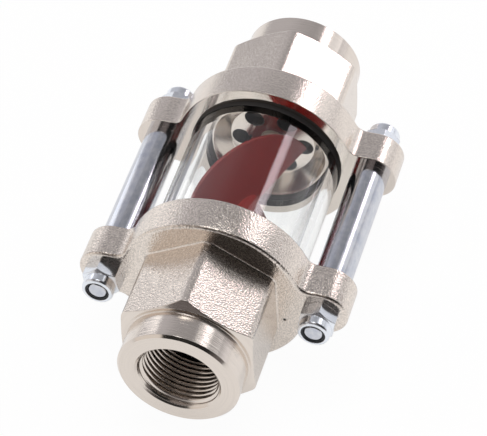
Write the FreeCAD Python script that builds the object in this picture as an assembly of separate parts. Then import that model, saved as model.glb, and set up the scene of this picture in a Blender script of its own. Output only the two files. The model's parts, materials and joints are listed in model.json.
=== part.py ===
"""Impeller flow indicator: a glass tube clamped between two cast pipe ends, with a rotor turning inside it.

The pipe axis runs along Y, the tie rods stand at -X (left) and +X (right), and the part lies on the rims
of its two flanges, with its origin on the floor under the middle of the glass.
"""
import FreeCAD, Part
import math
import os

from FreeCAD import Placement, Rotation, Vector

# Pipe ends, in millimetres
window_length = 48.0        # clear length between the two flange faces
flange_thickness = 12.0
flange_rim_width = 4.7      # wall between the glass groove and the outside of the flange
hex_across_flats = 42.0
hex_length = 25.5
collar_diameter = 39.0
collar_length = 10.0
collar_chamfer = 0.8
hex_corner_radius = 3.5
cast_edge_radius = 1.0

# Lugs that carry the tie rods
lug_reach = 5.0             # from the flange's rim out to the tie rod's axis
lug_width = 17.5
lug_blend_radius = 4.0

# Pipe thread, bored plain at its major diameter
thread_diameter = 26.44
thread_length = 17.5
thread_mouth_chamfer = 0.6
relief_step = 1.0           # the waterway behind the thread is this much larger in radius

# Sight glass and its seals
glass_diameter = 50.0
glass_wall = 4.5
groove_depth = 3.0
groove_clearance = 0.3
seal_thickness = 4.6        # deeper than the groove, so the seal stands proud of the flange
seal_clearance = 0.1
lip_gap = 0.5               # between the glass bore and the lip inside it
lip_width = 1.0

# Perforated web that carries the rotor's bearing
funnel_depth = 6.0
web_thickness = 4.0
web_hole_count = 6
web_hole_diameter = 6.5
web_hole_margin = 0.35      # between the holes and the foot of the funnel

# Rotor, axle and bushes
axle_diameter = 3.0
axle_running_clearance = 0.04
axle_end_gap = 0.5          # the axle stops this far inside the back of the web
axle_chamfer = 0.3
bush_diameter = 6.0
bush_flange_diameter = 8.0
bush_flange_thickness = 1.0
seat_gap = 0.02             # between pressed or screwed faces
hub_diameter = 6.5
hub_end_float = 0.3
blade_tip_gap = 2.5         # between the blade and the glass bore
blade_end_gap = 0.6         # between the blade's ends and the plane of the flange face
blade_thickness = 1.5
blade_root_overlap = 1.0    # how far each blade runs past the axis
blade_pitch = 32.0          # degrees between the blade's straight edge and the axis
rotor_rest_angle = 122.5    # degrees from +X up to the first blade's middle

# Tie rods, spacer tubes and lock nuts
rod_diameter = 6.35
rod_end_chamfer = 0.45
rod_end_gap = 0.4           # the stud stops this far inside the nut's end
rod_hole_clearance = 0.2
spacer_diameter = 12.0
nut_across_flats = 11.1
nut_hex_height = 5.0
nut_height = 8.4
nut_collar_diameter = 10.3
nut_collar_rounding = 0.8
insert_diameter = 7.8
insert_height = 2.2
insert_recess = 0.4         # from the nut's end down to the insert
# How far each nut ends up turned when it is tight, in degrees
nut_turns = {"rear_right": 12.0, "rear_left": -8.0, "front_right": -10.0, "front_left": 8.0}

# Sizes that follow from the ones above
ACROSS = Vector(1, 0, 0)
ALONG = Vector(0, 1, 0)
UP = Vector(0, 0, 1)
groove_outer_radius = glass_diameter / 2 + groove_clearance
flange_radius = groove_outer_radius + flange_rim_width
axis_height = flange_radius
rod_offset = flange_radius + lug_reach
flange_inner = window_length / 2
flange_outer = flange_inner + flange_thickness
hex_end = flange_outer + hex_length
pipe_end = hex_end + collar_length
glass_bore_radius = glass_diameter / 2 - glass_wall
groove_inner_radius = glass_bore_radius - lip_gap
mouth_radius = groove_inner_radius - lip_width
thread_radius = thread_diameter / 2
relief_radius = thread_radius + relief_step
web_front = flange_inner + funnel_depth
web_back = web_front + web_thickness
web_hole_circle = relief_radius - web_hole_margin - web_hole_diameter / 2
rod_hole_radius = rod_diameter / 2 + rod_hole_clearance
rod_half_length = flange_outer + nut_height - rod_end_gap


def ring_solid(outline):
    """Turn a closed outline of (radius, place along the axis) points about the pipe axis."""
    points = [Vector(radius, along, 0) for radius, along in outline]
    face = Part.Face(Part.makePolygon(points + points[:1]))
    return face.revolve(Vector(), ALONG, 360)


def rod_solid(radius, start, end, x=0.0, z=0.0):
    """A round bar along the pipe direction."""
    return Part.makeCylinder(radius, end - start, Vector(x, start, z), ALONG)


def hex_solid(across_flats, start, end):
    """A hexagonal bar along the pipe direction, with two corners pointing straight up and down."""
    corner = across_flats / 2 / math.cos(math.radians(30))
    angles = [math.radians(90 + 60 * side) for side in range(7)]
    points = [Vector(corner * math.cos(a), start, corner * math.sin(a)) for a in angles]
    return Part.Face(Part.makePolygon(points)).extrude(ALONG * (end - start))


def edges_along(shape):
    """The straight edges that run along the pipe direction."""
    straight = [edge for edge in shape.Edges if isinstance(edge.Curve, Part.Line)]
    return [edge for edge in straight if abs(edge.tangentAt(edge.FirstParameter).dot(ALONG)) > 0.999]


def edges_on_plane(shape, along):
    """The edges that lie in one plane across the pipe direction."""
    return [edge for edge in shape.Edges if all(abs(point.y - along) < 1e-4 for point in edge.discretize(5))]


def flange_plate():
    """The flange with its two lugs, cast edges rounded on the pipe side and crisp on the glass side."""
    plate = rod_solid(flange_radius, flange_inner, flange_outer)
    for side in (-1, 1):
        corner = Vector(min(0, side * rod_offset), flange_inner, -lug_width / 2)
        neck = Part.makeBox(rod_offset, flange_thickness, lug_width, corner)
        tip = rod_solid(lug_width / 2, flange_inner, flange_outer, side * rod_offset)
        plate = plate.fuse([neck, tip])
    plate = plate.removeSplitter()
    at_rim = [edge for edge in edges_along(plate)
              if abs(math.hypot(edge.Vertexes[0].X, edge.Vertexes[0].Z) - flange_radius) < 1e-4]
    plate = plate.makeFillet(lug_blend_radius, at_rim)
    return plate.makeFillet(cast_edge_radius, edges_on_plane(plate, flange_outer))


def waterway():
    """Everything bored out of a pipe end: funnel, waterway, thread and the groove for the glass."""
    mouth_end = pipe_end - thread_mouth_chamfer
    thread_start = pipe_end - thread_length
    funnel = ring_solid([(0, flange_inner), (mouth_radius, flange_inner), (relief_radius, web_front),
                         (0, web_front)])
    bore = ring_solid([(0, web_back), (relief_radius, web_back), (relief_radius, thread_start),
                       (thread_radius, thread_start), (thread_radius, mouth_end),
                       (thread_radius + thread_mouth_chamfer, pipe_end), (0, pipe_end)])
    groove_end = flange_inner + groove_depth
    groove = ring_solid([(groove_inner_radius, flange_inner), (groove_outer_radius, flange_inner),
                         (groove_outer_radius, groove_end), (groove_inner_radius, groove_end)])
    bush_seat = rod_solid(bush_diameter / 2 + seat_gap, web_front, web_back)
    cuts = [funnel, bore, groove, bush_seat]
    for hole in range(web_hole_count):
        angle = 2 * math.pi * hole / web_hole_count
        x = web_hole_circle * math.cos(angle)
        z = web_hole_circle * math.sin(angle)
        cuts.append(rod_solid(web_hole_diameter / 2, web_front, web_back, x, z))
    for side in (-1, 1):
        cuts.append(rod_solid(rod_hole_radius, flange_inner, flange_outer, side * rod_offset))
    return cuts


def rear_housing():
    """One cast pipe end: flange with lugs, wrench hexagon, turned collar and an integral web."""
    hexagon = hex_solid(hex_across_flats, flange_inner, hex_end)
    hexagon = hexagon.makeFillet(hex_corner_radius, edges_along(hexagon))
    body = flange_plate().fuse(hexagon).removeSplitter()
    shoulder = pipe_end - collar_chamfer
    collar_radius = collar_diameter / 2
    collar = ring_solid([(0, flange_inner), (collar_radius, flange_inner), (collar_radius, shoulder),
                         (collar_radius - collar_chamfer, pipe_end), (0, pipe_end)])
    return body.fuse(collar).cut(waterway()).removeSplitter()


def sight_glass():
    """A plain glass tube, clamped between the two seals."""
    half = flange_inner + groove_depth - seal_thickness
    tube = rod_solid(glass_diameter / 2, -half, half)
    return tube.cut(rod_solid(glass_bore_radius, -half, half))


def rear_glass_seal():
    """A square rubber ring in the groove, which the end of the glass presses on."""
    groove_end = flange_inner + groove_depth
    outer = rod_solid(groove_outer_radius - seal_clearance, groove_end - seal_thickness, groove_end)
    inner = rod_solid(groove_inner_radius + seal_clearance, groove_end - seal_thickness, groove_end)
    return outer.cut(inner)


def rear_axle_bush():
    """A flanged plain bearing pressed into the middle of the web."""
    bore = axle_diameter / 2 + axle_running_clearance
    face = web_front - bush_flange_thickness
    return ring_solid([(bore, face), (bush_flange_diameter / 2, face), (bush_flange_diameter / 2, web_front),
                       (bush_diameter / 2, web_front), (bush_diameter / 2, web_back), (bore, web_back)])


def rotor_axle():
    """A steel pin, pressed through the rotor and running in both bushes."""
    half = web_back - axle_end_gap
    radius = axle_diameter / 2
    nose = half - axle_chamfer
    return ring_solid([(0, -half), (radius - axle_chamfer, -half), (radius, -nose), (radius, nose),
                       (radius - axle_chamfer, half), (0, half)])


def rotor_blade():
    """One flat half-ellipse blade, set at the pitch angle to the axis on the rest angle's side."""
    pitch = math.radians(blade_pitch)
    rest = math.radians(rotor_rest_angle)
    reach = glass_bore_radius - blade_tip_gap
    half_length = (flange_inner - blade_end_gap) / math.cos(pitch)
    ellipse = Part.Ellipse(Vector(), max(half_length, reach), min(half_length, reach))
    face = Part.Face(Part.Wire([ellipse.toShape()]))
    plate = face.extrude(UP * blade_thickness)
    plate.translate(UP * (-blade_thickness / 2))
    if half_length > reach:
        plate.rotate(Vector(), UP, 90)
    keep = Part.makeBox(reach + blade_root_overlap, 2 * half_length, blade_thickness,
                        Vector(-blade_root_overlap, -half_length, -blade_thickness / 2))
    plate = plate.common(keep)
    outward = Vector(math.cos(rest), 0, math.sin(rest))
    around = Vector(-math.sin(rest), 0, math.cos(rest))
    edge = ALONG * -math.cos(pitch) + around * math.sin(pitch)
    plate.Placement = Placement(Vector(), Rotation(outward, edge, outward.cross(edge), "XYZ"))
    return plate


def rotor():
    """The moulded rotor: a slim hub with two blades crossing at the axis."""
    hub_end = web_front - bush_flange_thickness - hub_end_float
    blade = rotor_blade()
    opposite = blade.copy()
    opposite.rotate(Vector(), ALONG, 180)
    solid = rod_solid(hub_diameter / 2, -hub_end, hub_end).fuse([blade, opposite])
    return solid.cut(rod_solid(axle_diameter / 2 + seat_gap, -hub_end, hub_end)).removeSplitter()


def right_tie_rod():
    """A stud from nut to nut, through both lugs and the spacer tube."""
    radius = rod_diameter / 2
    nose = rod_half_length - rod_end_chamfer
    stud = ring_solid([(0, -rod_half_length), (radius - rod_end_chamfer, -rod_half_length), (radius, -nose),
                       (radius, nose), (radius - rod_end_chamfer, rod_half_length), (0, rod_half_length)])
    stud.translate(ACROSS * rod_offset)
    return stud


def right_spacer_tube():
    """The tube round the tie rod that keeps the two flanges at their distance."""
    tube = rod_solid(spacer_diameter / 2, -flange_inner, flange_inner, rod_offset)
    return tube.cut(rod_solid(rod_hole_radius, -flange_inner, flange_inner, rod_offset))


def rear_right_lock_nut(turn):
    """A lock nut: a chamfered hexagon with a round collar that is rolled over its insert."""
    start = flange_outer
    hex_top = start + nut_hex_height
    end = start + nut_height
    flat = nut_across_flats / 2
    corner = flat / math.cos(math.radians(30))
    collar = nut_collar_diameter / 2
    drop = (corner - collar) * math.tan(math.radians(30))
    hexagon = hex_solid(nut_across_flats, start, hex_top)
    envelope = ring_solid([(0, start), (corner, start), (corner, hex_top - drop), (collar, hex_top),
                           (0, hex_top)])
    rolled = nut_collar_rounding
    # The rolled edge is rounded in two slopes
    top = ring_solid([(0, start), (collar, start), (collar, end - rolled),
                      (collar - 0.3 * rolled, end - 0.3 * rolled), (collar - rolled, end), (0, end)])
    nut = hexagon.common(envelope).fuse(top)
    pocket_start = end - insert_recess - insert_height
    nut = nut.cut([rod_solid(rod_diameter / 2 + seat_gap, start, end),
                   rod_solid(insert_diameter / 2 + seat_gap, pocket_start, end)])
    nut = nut.removeSplitter()
    nut.rotate(Vector(), ALONG, turn)
    nut.translate(ACROSS * rod_offset)
    return nut


def rear_right_nut_insert():
    """The nylon ring that grips the stud's thread."""
    end = flange_outer + nut_height - insert_recess
    ring = rod_solid(insert_diameter / 2, end - insert_height, end, rod_offset)
    return ring.cut(rod_solid(rod_diameter / 2 + seat_gap, end - insert_height, end, rod_offset))


def turned(shape, axis):
    """A copy turned half way round an axis through the middle of the part."""
    copy = shape.copy()
    copy.rotate(Vector(), axis, 180)
    return copy


def at_corner(piece, corner):
    """A piece of the rear right corner, brought to another corner."""
    if corner.startswith("front"):
        piece = turned(turned(piece, UP), ALONG)
    if corner.endswith("left"):
        piece = turned(piece, ALONG)
    return piece


def all_nodes():
    """Every piece by name. The second pipe end and the other corners are turned copies of the first."""
    nodes = {"sight_glass": sight_glass(), "rotor": rotor(), "rotor_axle": rotor_axle()}
    for name, make in (("housing", rear_housing), ("glass_seal", rear_glass_seal),
                       ("axle_bush", rear_axle_bush)):
        nodes["rear_" + name] = make()
        nodes["front_" + name] = turned(nodes["rear_" + name], UP)
    for name, make in (("tie_rod", right_tie_rod), ("spacer_tube", right_spacer_tube)):
        nodes["right_" + name] = make()
        nodes["left_" + name] = turned(nodes["right_" + name], UP)
    for corner, turn in nut_turns.items():
        nodes[corner + "_lock_nut"] = at_corner(rear_right_lock_nut(turn), corner)
        nodes[corner + "_nut_insert"] = at_corner(rear_right_nut_insert(), corner)
    return nodes


os.makedirs("parts", exist_ok=True)
for node, shape in all_nodes().items():
    shape.translate(UP * axis_height)
    if not shape.isValid() or len(shape.Solids) != 1:
        raise ValueError(node + " is not one valid solid")
    shape.Solids[0].exportStep("parts/" + node + ".step")
    print(node, round(shape.Volume, 1), "mm3")
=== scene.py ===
import json
import math

import bmesh
import bpy
from mathutils import Matrix, Quaternion, Vector


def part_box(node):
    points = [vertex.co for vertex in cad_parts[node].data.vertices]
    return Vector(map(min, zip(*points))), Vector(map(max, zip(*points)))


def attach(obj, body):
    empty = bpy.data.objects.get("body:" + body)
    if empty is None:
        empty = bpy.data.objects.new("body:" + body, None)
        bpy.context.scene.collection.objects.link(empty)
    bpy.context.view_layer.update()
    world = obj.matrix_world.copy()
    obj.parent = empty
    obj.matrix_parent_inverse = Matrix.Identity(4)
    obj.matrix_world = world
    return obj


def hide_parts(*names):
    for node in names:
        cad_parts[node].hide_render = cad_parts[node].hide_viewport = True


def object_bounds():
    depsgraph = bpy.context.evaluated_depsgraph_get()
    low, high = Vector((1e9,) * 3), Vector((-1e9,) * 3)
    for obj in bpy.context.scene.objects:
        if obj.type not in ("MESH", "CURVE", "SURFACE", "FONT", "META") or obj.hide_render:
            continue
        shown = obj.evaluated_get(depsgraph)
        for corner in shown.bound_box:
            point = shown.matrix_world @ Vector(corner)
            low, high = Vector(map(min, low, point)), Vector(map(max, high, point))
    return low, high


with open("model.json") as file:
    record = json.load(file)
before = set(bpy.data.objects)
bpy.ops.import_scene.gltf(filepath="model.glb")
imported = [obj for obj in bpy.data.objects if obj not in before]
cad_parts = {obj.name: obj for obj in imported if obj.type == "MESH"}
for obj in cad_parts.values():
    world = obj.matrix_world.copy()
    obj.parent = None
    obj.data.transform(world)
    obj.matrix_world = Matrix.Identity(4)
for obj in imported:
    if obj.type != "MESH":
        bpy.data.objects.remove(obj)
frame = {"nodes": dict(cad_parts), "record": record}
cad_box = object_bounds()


# Rotor
# Two flat half-ellipse blades and a slim hub, moulded in one from dark red plastic and pressed on the axle.
# The skin is satin, a little cloudy from the flow of the melt, and rubbed lighter along its thin edges.

rotor_cloud_scale = 120.0
rotor_skin_scale = 2600.0
rotor_skin_depth = 0.00001
rotor_rub_width = 0.0005
rotor_rub_share = 0.6       # how far the edges go towards the rubbed colour
ROTOR_RED = (0.152, 0.006, 0.005, 1)
ROTOR_CLOUDED = (0.192, 0.010, 0.008, 1)
ROTOR_RUBBED = (0.30, 0.06, 0.055, 1)


class Socket:
    """One outlet in a material's nodes. Sums and products of sockets add their own Math nodes."""

    def __init__(self, tree, outlet=None):
        self.tree = tree
        self.outlet = outlet

    def feed(self, node, inlets):
        """Give a node's inlets their values or links."""
        for key, value in inlets.items():
            if isinstance(value, Socket):
                self.tree.links.new(value.outlet, node.inputs[key])
            else:
                node.inputs[key].default_value = value

    def node(self, kind, settings=None, inlets=None, outlet=0):
        """Add a node: its settings first, then its inlets. Returns one of its outlets."""
        made = self.tree.nodes.new("ShaderNode" + kind)
        for key, value in (settings or {}).items():
            setattr(made, key, value)
        self.feed(made, inlets or {})
        return Socket(self.tree, made.outputs[outlet])

    def maths(self, operation, *terms):
        return self.node("Math", {"operation": operation}, dict(enumerate(terms)))

    def __add__(self, other):
        return self.maths("ADD", self, other)

    def __sub__(self, other):
        return self.maths("SUBTRACT", self, other)

    def __rsub__(self, other):
        return self.maths("SUBTRACT", other, self)

    def __mul__(self, other):
        return self.maths("MULTIPLY", self, other)

    def __pow__(self, other):
        return self.maths("POWER", self, other)

    __radd__ = __add__
    __rmul__ = __mul__


def new_finish(name):
    """A new material, a Socket for adding its nodes, and its shader."""
    material = bpy.data.materials.new(name)
    material.use_nodes = True
    tree = material.node_tree
    return material, Socket(tree), tree.nodes["Principled BSDF"]


def above(value, edge, softness):
    """A mask that is 0 below the edge and 1 above it."""
    limits = {"Value": value, "From Min": edge - softness, "From Max": edge + softness}
    return value.node("MapRange", {"interpolation_type": "SMOOTHSTEP"}, limits)


def span(share, low, high):
    """A value that goes from low to high as the share goes from 0 to 1."""
    return low + share * (high - low)


def stretched(place, factors):
    """A place with its three axes scaled."""
    return place.node("VectorMath", {"operation": "MULTIPLY"}, {0: place, 1: factors})


def noise(place, scale, detail=2.0, roughness=0.5):
    """Cloudy noise from 0 to 1, with features of about 1 / scale metres."""
    inlets = {"Vector": place, "Scale": scale, "Detail": detail, "Roughness": roughness}
    return place.node("TexNoise", {}, inlets)


def blended(share, first, second):
    """A colour that goes from the first to the second as the share goes from 0 to 1."""
    return share.node("Mix", {"data_type": "RGBA"}, {0: share, 6: first, 7: second}, 2)


def bumped(tools, height, depth, strength):
    """A normal for a surface whose height map spans that depth in metres."""
    return tools.node("Bump", {}, {"Height": height, "Distance": depth, "Strength": strength})


def edge_rub(tools, width, start=0.06, softness=0.05):
    """How far a rounded normal leans from the flat one: 0 on faces, up to 1 along edges."""
    flat = tools.node("NewGeometry", {}, {}, "Normal")
    rounded = tools.node("Bevel", {"samples": 6}, {"Radius": width})
    same = tools.node("VectorMath", {"operation": "DOT_PRODUCT"}, {0: flat, 1: rounded}, "Value")
    return above(1 - same, start, softness)


def give(material, *nodes):
    """Put a finish on CAD nodes."""
    for node in nodes:
        slots = frame["nodes"][node].material_slots
        slots[0].link = "OBJECT"
        slots[0].material = material


def rotor_finish():
    material, tools, shader = new_finish("dark_red_moulded_plastic")
    place = tools.node("TexCoord", {}, {}, "Object")
    cloud = noise(place, rotor_cloud_scale, detail=3.0)
    skin = noise(place, rotor_skin_scale)
    red = blended(cloud, ROTOR_RED, ROTOR_CLOUDED)
    red = blended(edge_rub(tools, rotor_rub_width) * rotor_rub_share, red, ROTOR_RUBBED)
    tools.feed(shader, {"Base Color": red, "Roughness": span(cloud, 0.34, 0.48), "Specular IOR Level": 0.15,
                        "Normal": bumped(tools, skin, rotor_skin_depth, strength=0.6)})
    return material


give(rotor_finish(), "rotor")


# Rotor axle
# A ground stainless pin, pressed through the rotor's hub, whose two ends run in the bushes of the webs.
# Grinding leaves fine rings round it.

grinding_scale = (60.0, 6000.0, 60.0)   # features per metre along X, Y and Z
grinding_depth = 0.000004
STAINLESS_DARK = (0.50, 0.49, 0.48, 1)
STAINLESS_LIGHT = (0.62, 0.61, 0.60, 1)


def axle_finish():
    material, tools, shader = new_finish("ground_stainless_pin")
    place = tools.node("TexCoord", {}, {}, "Object")
    rings = noise(stretched(place, grinding_scale), 1.0, detail=3.0)
    grey = blended(rings, STAINLESS_DARK, STAINLESS_LIGHT)
    tools.feed(shader, {"Base Color": grey, "Metallic": 1.0, "Roughness": span(rings, 0.16, 0.28),
                        "Normal": bumped(tools, rings, grinding_depth, strength=0.7)})
    return material


give(axle_finish(), "rotor_axle")


# Axle bushes
# Two flanged plain bearings turned from off-white plastic, each pressed into the middle of a web.
# The lathe leaves faint rings on the flange.

axis_height = (cad_box[0].z + cad_box[1].z) / 2
bush_ring_pitch = 0.00035
bush_ring_depth = 0.00001
IVORY_DARK = (0.56, 0.53, 0.45, 1)
IVORY_LIGHT = (0.66, 0.63, 0.55, 1)


def parts_of(vector):
    """The X, Y and Z of a vector."""
    return [vector.node("SeparateXYZ", {}, {"Vector": vector}, axis) for axis in "XYZ"]


def pipe_place(tools):
    """The place in the part, the distance along the pipe from its middle, and the distance from its axis."""
    place = tools.node("TexCoord", {}, {}, "Object")
    x, y, z = parts_of(place)
    height = z - axis_height
    return place, y.maths("ABSOLUTE", y), (x * x + height * height) ** 0.5


def lathe_marks(place, along, radius, pitch, drift=40.0):
    """Fine rings that follow the tool round the axis and fade in and out a little on their way."""
    x, _, z = parts_of(place)
    feed = (along + radius) * (1 / pitch)
    rings = place.node("CombineXYZ", {}, {"X": x * drift, "Y": feed, "Z": z * drift})
    return noise(rings, 1.0, detail=3.0, roughness=0.6)


def bush_finish():
    material, tools, shader = new_finish("off_white_turned_plastic")
    place, along, radius = pipe_place(tools)
    rings = lathe_marks(place, along, radius, bush_ring_pitch)
    ivory = blended(rings, IVORY_DARK, IVORY_LIGHT)
    tools.feed(shader, {"Base Color": ivory, "Roughness": span(rings, 0.38, 0.53),
                        "Normal": bumped(tools, rings, bush_ring_depth, strength=0.5)})
    return material


give(bush_finish(), "front_axle_bush", "rear_axle_bush")


# Pipe ends
# Two like brass castings with flange, lugs and wrench hexagon, plated with bright nickel. The collar, the
# hexagon's conical end, the glass face and the inside are turned, and the rest keeps the sand mould's grain.
# Each piece is made from a copy of its CAD node, which lacks that cone, and stands in its place.

pipe_end = cad_box[1].y
flange_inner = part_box("rear_housing")[0].y
flange_thickness = 0.012
flange_outer = flange_inner + flange_thickness
web_depth = 0.006
web_front = flange_inner + web_depth
collar_length = 0.010
hex_end = pipe_end - collar_length
collar_chamfer = 0.0009
inside_radius = 0.0186          # within this radius every face is turned
waterway_radius = 0.0148
funnel_foot = 0.0144            # the radius at which the funnel meets the web
groove_radius = 0.0256          # the outside of the groove for the seal
slope_start = 0.0208            # the radius at which the hexagon's turned end begins to slope back
hex_end_slope = math.tan(math.radians(27))
cutter_radius = 0.027
cutter_lead = 0.0002            # how far outside the hexagon's end the cutter's cone begins
cutter_facets = 96
crisp_angle = math.radians(25)  # edges sharper than this keep a crisp shade
casting_pit = Vector((0.0234, -0.0360, 0.0242))
casting_pit_radius = 0.00045
casting_pit_depth = 0.0004
mould_grain_scale = 1850.0
mould_grain_height = 0.000062
mould_sand_scale = 2050.0
mould_sand_height = 0.000024
mould_lump_scale = 380.0
mould_lump_height = 0.000012
rear_calm = 0.4                 # how much calmer the grain is on the rear casting
ring_pitch = 0.00045
ring_height = 0.000008
barrel_ring_height = 0.00005
casting_rub_width = 0.0006
edge_rounding = 0.0004
flange_root_rounding = 0.0008   # how much rounder the hexagon's root at the flange is than other edges
collar_root_rounding = 0.0006   # and its root at the collar
mask_softness = 0.00003
fine_softness = 0.0001
NICKEL_DARK = (0.65, 0.590, 0.535, 1)
NICKEL_BRIGHT = (0.90, 0.825, 0.755, 1)
# painted shade for the funnel in front of the web
FUNNEL_SHADE = (0.47, 0.41, 0.36, 1)
# painted shade for the deep bore between the web and the mouth
BORE_SHADE_BROWN = (0.055, 0.048, 0.042, 1)
PIT_DARK = (0.020, 0.018, 0.015, 1)


def below(value, edge, softness):
    """A mask that is 1 below the edge and 0 above it."""
    return 1 - above(value, edge, softness)


def either(first, second):
    """A mask that is 1 where one of two masks is."""
    return first.maths("MAXIMUM", first, second)


def casting_normal(tools, along, radius, collar, height):
    """The casting's relief, on edges and roots that are slightly rounded outside the bores."""
    root_start = flange_outer - 0.0003
    root_end = flange_outer + 0.0016
    bore_end = flange_outer - 0.0005
    crisp_start = hex_end + 0.002
    at_root = above(along, root_start, fine_softness) * below(along, root_end, 4 * fine_softness)
    in_bore = below(along, bore_end, fine_softness) * below(radius, groove_radius, fine_softness)
    crisp = either(in_bore, above(along, crisp_start, 2 * fine_softness))
    rounding = edge_rounding + at_root * flange_root_rounding + collar * collar_root_rounding
    rounded = tools.node("Bevel", {"samples": 8}, {"Radius": rounding})
    plain = tools.node("NewGeometry", {}, {}, "Normal")
    base = tools.node("Mix", {"data_type": "VECTOR"}, {0: crisp, 4: rounded, 5: plain}, 1)
    return tools.node("Bump", {}, {"Height": height, "Distance": 1.0, "Strength": 1.0, "Normal": base})


def casting_finish():
    material, tools, shader = new_finish("nickel_plated_casting")
    place, along, radius = pipe_place(tools)

    # Which faces are cast and which are turned
    collar = above(along, hex_end - mask_softness, mask_softness)
    cone = above(along + (radius - slope_start) * hex_end_slope, hex_end - mask_softness, mask_softness)
    glass_face = below(along, flange_inner + mask_softness, mask_softness)
    inside = below(radius, inside_radius, 3 * fine_softness)
    past_web = above(along, web_front + 0.0002, fine_softness)
    before_mouth = below(along, pipe_end - 0.001, fine_softness)
    deep = past_web * before_mouth * below(radius, waterway_radius, fine_softness)
    glass_side = below(along, web_front + 0.0005, fine_softness)
    funnel = inside * glass_side * above(radius, funnel_foot, fine_softness)
    turned = either(either(either(collar, glass_face), inside), cone)
    cast = 1 - turned

    # The grain of the sand mould, the lathe's rings and one pit in the front flange
    grains = tools.node("TexVoronoi", {}, {"Vector": place, "Scale": mould_grain_scale}, "Distance")
    sand = above(noise(place, mould_sand_scale, detail=1.0, roughness=0.6), 0.5, softness=0.22)
    lumps = noise(place, mould_lump_scale)
    rings = lathe_marks(place, along, radius, ring_pitch)
    from_pit = tools.node("VectorMath", {"operation": "DISTANCE"}, {0: place, 1: casting_pit}, "Value")
    pit = below(from_pit, casting_pit_radius, casting_pit_radius * 0.5)
    rearward = parts_of(place)[1]
    grain_share = cast * (1 - above(rearward, 0.0, softness=0.001) * rear_calm)
    barrel = collar * below(along, pipe_end - collar_chamfer, fine_softness)
    mould = grains * mould_grain_height + sand * mould_sand_height + lumps * mould_lump_height
    lathe = rings * (turned * ring_height + barrel * barrel_ring_height)
    height = mould * grain_share + lathe - pit * casting_pit_depth

    # Colour and roughness
    tone = 0.5 + (sand - 0.5) * grain_share + (rings - 0.5) * turned * 0.5
    shade = blended(tone, NICKEL_DARK, NICKEL_BRIGHT)
    shade = blended(edge_rub(tools, casting_rub_width) * cast * 0.5, shade, NICKEL_BRIGHT)
    # Painted shade: the funnel in front of the web is darkened most of the way towards a dull nickel.
    shade = blended(funnel * 0.8, shade, FUNNEL_SHADE)
    # Painted shade: the deep bore between the web and the mouth is darkened to a near-black brown.
    shade = blended(deep, shade, BORE_SHADE_BROWN)
    shade = blended(pit, shade, PIT_DARK)
    rough = cast * span(sand, 0.16, 0.24) + turned * span(rings, 0.05, 0.13)
    rough = rough + collar * rings * 0.08 + inside * 0.08 + deep * 0.3
    tools.feed(shader, {"Base Color": shade, "Metallic": 1.0, "Roughness": rough,
                        "Normal": casting_normal(tools, along, radius, collar, height)})
    return material


def ring_of_points(mesh, along, radius_at, facets):
    """Points round the pipe's axis, at a radius that may change with the angle."""
    points = []
    for facet in range(facets):
        angle = 2 * math.pi * facet / facets
        radius = radius_at(angle)
        height = axis_height + radius * math.cos(angle)
        points.append(mesh.verts.new((radius * math.sin(angle), along, height)))
    return points


def closed_skin(name, mesh, rings):
    """A mesh of the skin through rings of points, from the last ring back to the first."""
    facets = len(rings[0])
    for near, far in zip(rings, rings[1:] + rings[:1]):
        for facet in range(facets):
            after = (facet + 1) % facets
            mesh.faces.new((near[facet], near[after], far[after], far[facet]))
    bmesh.ops.recalc_face_normals(mesh, faces=mesh.faces)
    data = bpy.data.meshes.new(name)
    mesh.to_mesh(data)
    mesh.free()
    data.shade_smooth()
    return data


def cone_cutter(name, facing):
    """A ring with a conical inner side, which takes the corners off the end of one hexagon."""
    inner = slope_start - cutter_lead / hex_end_slope
    drop = (cutter_radius - slope_start) * hex_end_slope
    profile = [(inner, hex_end + cutter_lead), (cutter_radius, hex_end - drop), (cutter_radius, pipe_end),
               (inner, pipe_end)]
    mesh = bmesh.new()
    rings = []
    for reach, along in profile:
        rings.append(ring_of_points(mesh, facing * along, lambda angle: reach, cutter_facets))
    return bpy.data.objects.new(name, closed_skin(name, mesh, rings))


def turned_pipe_end(name, node, facing):
    """A pipe end made from its CAD node, with the end of its hexagon turned to a cone."""
    piece = bpy.data.objects.new(name, frame["nodes"][node].data.copy())
    bpy.context.scene.collection.objects.link(piece)
    cut = piece.modifiers.new("turned_hexagon_end", "BOOLEAN")
    cut.operation = "DIFFERENCE"
    cut.solver = "EXACT"
    cut.object = cone_cutter(name + "_cutter", facing)
    crisp_edges = piece.modifiers.new("crisp_edges", "EDGE_SPLIT")
    crisp_edges.split_angle = crisp_angle
    return piece


ends = {"front": -1, "rear": 1}     # each end, and the way along Y that it faces
plated_casting = casting_finish()
for end, facing in ends.items():
    casting = turned_pipe_end(end + "_pipe_end", end + "_housing", facing)
    casting.data.materials.clear()
    casting.data.materials.append(plated_casting)
    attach(casting, "indicator_body")
    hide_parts(end + "_housing")


# Pipe threads
# A parallel pipe thread with rounded crests, tapped right-handed in both castings behind a countersunk mouth
# and nickel plated with them. The CAD nodes have a plain bore there.

thread_pitch = 0.001814
thread_height = 0.00116
thread_steps = 14           # rings of points in one pitch
thread_facets = 144         # points round the bore
thread_wall = 0.0001        # how far the lining reaches into the wall of the bore
mouth_slope = 0.58          # how fast the countersunk mouth narrows with depth
tap_mark_pitch = 0.0003
tap_mark_depth = 0.000008
mounts = {mount["name"]: mount for mount in frame["record"]["mounts"]}


def thread_radius(along, angle, root, depth, mouth_depth):
    """The radius of the screwed surface. It opens into the mouth's cone near the face."""
    turns = along / thread_pitch - angle / (2 * math.pi)
    ridge = 0.5 - 0.5 * math.cos(2 * math.pi * turns)
    cone = root - mouth_slope * (depth - mouth_depth)
    return max(root - thread_height * ridge, cone)


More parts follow.
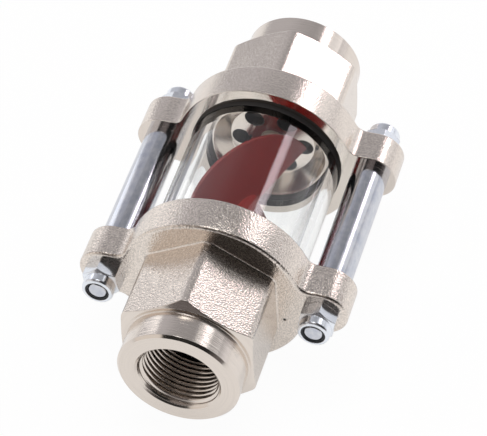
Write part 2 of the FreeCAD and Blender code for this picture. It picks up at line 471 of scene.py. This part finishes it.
def pipe_thread(name, mount, face):
    """The screwed lining of one pipe end, from its mouth to the end of the tapped length."""
    root = mount["dims"]["r_mm"] / 1000
    length = mount["dims"]["length_mm"] / 1000
    middle = mount["pos_m"][1]
    inward = -math.copysign(1, face)
    mouth_depth = abs(face - middle) - length / 2
    rows = round(length / thread_pitch * thread_steps)
    mesh = bmesh.new()

    def wall_ring(depth):
        return ring_of_points(mesh, face + inward * depth, lambda angle: root + thread_wall, thread_facets)

    def screwed_ring(depth):
        along = face + inward * depth

        def radius_at(angle):
            return thread_radius(along, angle, root, depth, mouth_depth)

        return ring_of_points(mesh, along, radius_at, thread_facets)

    rings = [wall_ring(mouth_depth)]
    rings += [screwed_ring(mouth_depth + length * row / rows) for row in range(rows + 1)]
    rings.append(wall_ring(mouth_depth + length))
    lining = bpy.data.objects.new(name, closed_skin(name, mesh, rings))
    bpy.context.scene.collection.objects.link(lining)
    return lining


def thread_finish():
    material, tools, shader = new_finish("nickel_plated_thread")
    place, along, radius = pipe_place(tools)
    rings = lathe_marks(place, along, radius, tap_mark_pitch)
    shade = blended(rings, NICKEL_DARK, NICKEL_BRIGHT)
    tools.feed(shader, {"Base Color": shade, "Metallic": 1.0, "Roughness": span(rings, 0.14, 0.26),
                        "Normal": bumped(tools, rings, tap_mark_depth, strength=0.8)})
    return material


screwed = thread_finish()
for end, facing in ends.items():
    lining = pipe_thread(end + "_pipe_thread", mounts[end + "_thread"], facing * pipe_end)
    lining.data.materials.append(screwed)
    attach(lining, "indicator_body")


# Glass seals
# Two square rings of black rubber in the grooves of the flanges, which the ends of the glass press on.
# The rubber is matt, with a dusting of talc.

talc_scale = 900.0
talc_depth = 0.00003
RUBBER_BLACK = (0.016, 0.015, 0.015, 1)
RUBBER_DUSTED = (0.034, 0.032, 0.032, 1)


def seal_finish():
    material, tools, shader = new_finish("black_seal_rubber")
    place = tools.node("TexCoord", {}, {}, "Object")
    talc = noise(place, talc_scale, detail=4.0, roughness=0.7)
    black = blended(talc, RUBBER_BLACK, RUBBER_DUSTED)
    tools.feed(shader, {"Base Color": black, "Roughness": span(talc, 0.5, 0.75),
                        "Normal": bumped(tools, talc, talc_depth, strength=0.6)})
    return material


give(seal_finish(), "front_glass_seal", "rear_glass_seal")


# Sight glass
# A length of clear borosilicate tube with cut ends, clamped between the seals by the tie rods.
# It lets the lamps through to the rotor, and handling leaves it a little less than polished in patches.

smear_stretch = (1.0, 0.35, 1.0)    # smears run along the tube
smear_scale = 90.0
smear_edge = 0.62                   # the level of the noise above which there is a smear
smear_roughness = 0.025
glass_refraction = 1.5
GLASS_CLEAR = (0.993, 0.998, 0.995, 1)
GLASS_GLEAM = (0.88, 0.88, 0.88, 1)
GLASS_SHADOW = (0.93, 0.95, 0.94, 1)


def glass_finish():
    material, tools, shader = new_finish("clear_glass_tube")
    place = tools.node("TexCoord", {}, {}, "Object")
    smears = noise(stretched(place, smear_stretch), smear_scale, detail=4.0, roughness=0.6)
    rough = above(smears, smear_edge, softness=0.12) * smear_roughness
    tools.feed(shader, {"Base Color": GLASS_CLEAR, "Roughness": rough, "IOR": glass_refraction,
                        "Specular Tint": GLASS_GLEAM, "Transmission Weight": 1.0})
    shadow = tools.node("LightPath", {}, {}, "Is Shadow Ray")
    clear = tools.node("BsdfTransparent", {}, {"Color": GLASS_SHADOW})
    solid = Socket(tools.tree, shader.outputs[0])
    mixed = tools.node("MixShader", {}, {0: shadow, 1: solid, 2: clear})
    tools.feed(tools.tree.nodes["Material Output"], {"Surface": mixed})
    return material


give(glass_finish(), "sight_glass")


# Tie rods and spacer tubes
# Two steel studs run through the lugs from nut to nut, inside tubes that keep the flanges apart.
# Both are drawn steel with bright bluish zinc plate, drawn lines along the tubes and a slight bloom.

drawn_lines_scale = (3000.0, 60.0, 3000.0)  # features per metre along X, Y and Z
zinc_grain_depth = 0.000006
bloom_stretch = (1.0, 0.5, 1.0)
bloom_scale = 420.0
zinc_rub_width = 0.0004
zinc_rub_share = 0.6        # how far the edges go towards the rubbed colour
ZINC_BLUE = (0.50, 0.535, 0.62, 1)
ZINC_PALE = (0.74, 0.75, 0.78, 1)
ZINC_RUBBED = (0.80, 0.81, 0.82, 1)


def zinc_finish(name, grain_scale, roughness, dull, bright, edge):
    """Zinc plate with that grain, between two colours, on edges rounded by that radius."""
    material, tools, shader = new_finish(name)
    place = tools.node("TexCoord", {}, {}, "Object")
    grain = noise(stretched(place, grain_scale), 1.0, detail=3.0, roughness=0.6)
    clouds = noise(stretched(place, bloom_stretch), bloom_scale, detail=4.0, roughness=0.65)
    bloom = above(clouds, 0.5, softness=0.4)
    shade = blended(bloom, dull, bright)
    shade = blended(edge_rub(tools, zinc_rub_width) * zinc_rub_share, shade, ZINC_RUBBED)
    rounded = tools.node("Bevel", {"samples": 6}, {"Radius": edge})
    bump = tools.node("Bump", {}, {"Height": grain, "Distance": zinc_grain_depth, "Strength": 0.8,
                                   "Normal": rounded})
    rough = roughness + grain * 0.08 + bloom * 0.1
    tools.feed(shader, {"Base Color": shade, "Metallic": 1.0, "Roughness": rough, "Normal": bump})
    return material


drawn_zinc = zinc_finish("drawn_zinc_plate", drawn_lines_scale, roughness=0.08, dull=ZINC_BLUE,
                         bright=ZINC_PALE, edge=0.0002)
give(drawn_zinc, "left_spacer_tube", "right_spacer_tube", "left_tie_rod", "right_tie_rod")


# Lock nuts
# Four cold-formed quarter-inch hexagon nuts, zinc plated like the studs and drawn up against the lugs.
# Each has a round collar that is rolled over its insert.

forming_scale = (1400.0, 1400.0, 1400.0)    # features per metre along X, Y and Z
ZINC_WHITE = (0.84, 0.87, 0.92, 1)
ZINC_BRIGHT = (0.88, 0.93, 1.0, 1)
corners = [end + "_" + side for end in ends for side in ("left", "right")]

formed_zinc = zinc_finish("formed_zinc_plate", forming_scale, roughness=0.10, dull=ZINC_WHITE,
                          bright=ZINC_BRIGHT, edge=0.0004)
give(formed_zinc, *[corner + "_lock_nut" for corner in corners])


# Nut inserts
# The nylon rings inside the nuts' collars, moulded, and held there by the rolled edge. They grip the studs.
# The nylon is dark, dull and slightly waxy.

wax_scale = 1200.0
wax_depth = 0.00002
NYLON_DARK = (0.012, 0.014, 0.018, 1)
NYLON_WORN = (0.030, 0.034, 0.040, 1)


def insert_finish():
    material, tools, shader = new_finish("dark_nylon")
    place = tools.node("TexCoord", {}, {}, "Object")
    wax = noise(place, wax_scale, detail=3.0)
    dark = blended(wax, NYLON_DARK, NYLON_WORN)
    tools.feed(shader, {"Base Color": dark, "Roughness": span(wax, 0.42, 0.62),
                        "Normal": bumped(tools, wax, wax_depth, strength=0.5)})
    return material


give(insert_finish(), *[corner + "_nut_insert" for corner in corners])


# Floor
# A plain white paper sweep, far larger than the part, which lies on it. To the eye and through glass it
# reads as white with a part of the shadow that falls on it. The metal mirrors it half white, half as lit.

floor_size = 6.0
WHITE = (1, 1, 1, 1)
WHITE_PAPER = (0.94, 0.94, 0.94, 1)
# The share of the floor's look that is white whatever falls on it, by the kind of ray that sees it
floor_glow = {"Camera": 0.96, "Transmission": 0.96, "Glossy": 0.5}

floor_mesh = bmesh.new()
bmesh.ops.create_grid(floor_mesh, x_segments=1, y_segments=1, size=floor_size / 2)
floor_data = bpy.data.meshes.new("floor")
floor_mesh.to_mesh(floor_data)
floor_mesh.free()
floor = bpy.data.objects.new("floor", floor_data)
bpy.context.scene.collection.objects.link(floor)


def floor_finish():
    material, tools, shader = new_finish("white_paper_sweep")
    rays = {ray: tools.node("LightPath", {}, {}, "Is " + ray + " Ray") for ray in floor_glow}
    seen, through_glass, mirrored = [rays[ray] * share for ray, share in floor_glow.items()]
    white = either(either(seen, through_glass), mirrored)
    glow = tools.node("Emission", {}, {"Color": WHITE, "Strength": 1.0})
    tools.feed(shader, {"Base Color": WHITE_PAPER, "Roughness": 0.9})
    paper = Socket(tools.tree, shader.outputs[0])
    mixed = tools.node("MixShader", {}, {0: white, 1: paper, 2: glow})
    tools.feed(tools.tree.nodes["Material Output"], {"Surface": mixed})
    return material


floor_data.materials.append(floor_finish())


# Studio light
# Pale walls behind the part under a grey ceiling, white paper at the front left and a dark room in front.
# A strip lamp behind the right side draws the bright bar along the glass, with a dim end towards the camera.
# Dim panels stand at both sides. Of two lamps above, the wider lights floor and rotor unseen by the metal.

wall_fade = 0.2             # sine of the height about which the right wall fades from foot to head
wall_turn = 0.3             # where the left wall turns into the right one, as the direction's share of +X
tent_top = 0.72             # sine of the height at which the walls end at the left
tent_drop = 0.3             # how much lower they end towards the right
tent_front = 0.15           # where the walls begin behind the part, as the direction's share of +Y
paper_edge = -0.50          # where the white paper at the front left ends, as the direction's share of +X
paper_height = 0.68         # sine of the height at which that paper ends
room_low_top = 0.28         # sine of the height below which the room in front is grey
camera_edge = 0.215         # where the dark round the camera begins, as the direction's share of +X
WALL_LEFT = (0.53, 0.52, 0.545, 1)
WALL_RIGHT_FOOT = (0.88, 0.865, 0.89, 1)
WALL_RIGHT_HEAD = (0.38, 0.375, 0.39, 1)
PAPER = (0.82, 0.77, 0.73, 1)
CEILING = (0.33, 0.325, 0.335, 1)
ROOM = (0.02, 0.02, 0.02, 1)
ROOM_LOW = (0.15, 0.135, 0.135, 1)
ROOM_ABOVE = (0.24, 0.21, 0.20, 1)

world = bpy.data.worlds.new("light_tent")
world.use_nodes = True
bpy.context.scene.world = world
sky = Socket(world.node_tree)
across, forth, climb = parts_of(sky.node("TexCoord", {}, {}, "Generated"))
wall_right = blended(above(climb, wall_fade, softness=0.2), WALL_RIGHT_FOOT, WALL_RIGHT_HEAD)
walls = blended(above(across, wall_turn, softness=0.3), WALL_LEFT, wall_right)
rise = climb + sky.maths("MAXIMUM", across, 0.0) * tent_drop
walls = blended(above(rise, tent_top, softness=0.08), walls, CEILING)
room = blended(above(climb, room_low_top, softness=0.12), ROOM_LOW, ROOM)
front = blended(above(across, paper_edge, softness=0.02), PAPER, room)
high = above(climb, paper_height, softness=0.03) * below(across, camera_edge, softness=0.01)
front = blended(high, front, ROOM_ABOVE)
dome = blended(above(forth, tent_front, softness=0.08), front, walls)
sky.feed(world.node_tree.nodes["Background"], {"Color": dome, "Strength": 1.0})


def softbox(name, place, aim, size, radiance, tint=(1, 1, 1), turn=0.0):
    """A flat lamp of that size and brightness, aimed at a point and turned about its aim."""
    width, height = size
    lamp = bpy.data.lights.new(name, "AREA")
    lamp.shape = "RECTANGLE"
    lamp.size = width
    lamp.size_y = height
    lamp.energy = radiance * math.pi * width * height
    lamp.color = tint
    holder = bpy.data.objects.new(name, lamp)
    holder.location = place
    aimed = (Vector(aim) - Vector(place)).to_track_quat("-Z", "Y")
    holder.rotation_euler = (aimed @ Quaternion((0, 0, 1), math.radians(turn))).to_euler()
    holder.visible_camera = False
    bpy.context.scene.collection.objects.link(holder)
    return holder


LAMP_PINK = (1, 0.86, 0.91)
strip_turn = -15.7          # how the strip lamp and the right panel lean about their aim, in degrees
part_middle = (0, 0, axis_height)
softbox("strip_lamp", place=(0.404, 0.69, 0.4735), aim=(0, 0.69, axis_height), size=(0.484, 0.127),
        radiance=4.7, tint=LAMP_PINK, turn=strip_turn)
softbox("strip_lamp_end", place=(0.331, 0.39, 0.530), aim=(0, 0.39, axis_height), size=(0.17, 0.283),
        radiance=0.75)
softbox("right_panel", place=(0.524, 0.651, 0.323), aim=(0, 0.651, axis_height), size=(0.518, 0.283),
        radiance=0.5, turn=strip_turn)
softbox("left_panel", place=(-0.36, 0.2475, 0.16), aim=(0, 0.2475, 0.16), size=(0.065, 0.30), radiance=1.0)
softbox("top_lamp", place=(-0.15, 0.1, 1.2), aim=part_middle, size=(0.45, 0.45), radiance=2.4)
top_fill = softbox("top_fill", place=(0.1, 0, 1.1), aim=part_middle, size=(0.9, 0.9), radiance=2.8)
top_fill.visible_glossy = False


# Camera
# A long lens that looks down on the part from the front right, with a slight roll.
# Its place, turn and focal length were fitted to the photograph.

camera_target = Vector((0.00011, -0.00178, 0.02842))
camera_distance = 0.83769
camera_azimuth = math.radians(19.39)
camera_elevation = math.radians(47.49)
camera_roll = math.radians(-3.85)
sensor_width = 36.0         # millimetres, as Blender gives it
focal_length = 193.42       # millimetres

back = Vector((math.sin(camera_azimuth) * math.cos(camera_elevation),
               -math.cos(camera_azimuth) * math.cos(camera_elevation), math.sin(camera_elevation)))
level = Vector((math.cos(camera_azimuth), math.sin(camera_azimuth), 0))
right = Matrix.Rotation(camera_roll, 3, back) @ level
axes = Matrix((right, back.cross(right), back)).transposed()

lens = bpy.data.cameras.new("camera")
lens.sensor_fit = "HORIZONTAL"
lens.sensor_width = sensor_width
lens.lens = focal_length
lens.clip_start = 0.05
camera = bpy.data.objects.new("camera", lens)
camera.matrix_world = Matrix.Translation(camera_target + back * camera_distance) @ axes.to_4x4()
bpy.context.scene.collection.objects.link(camera)
bpy.context.scene.camera = camera

bpy.context.scene.view_settings.view_transform = "Standard"
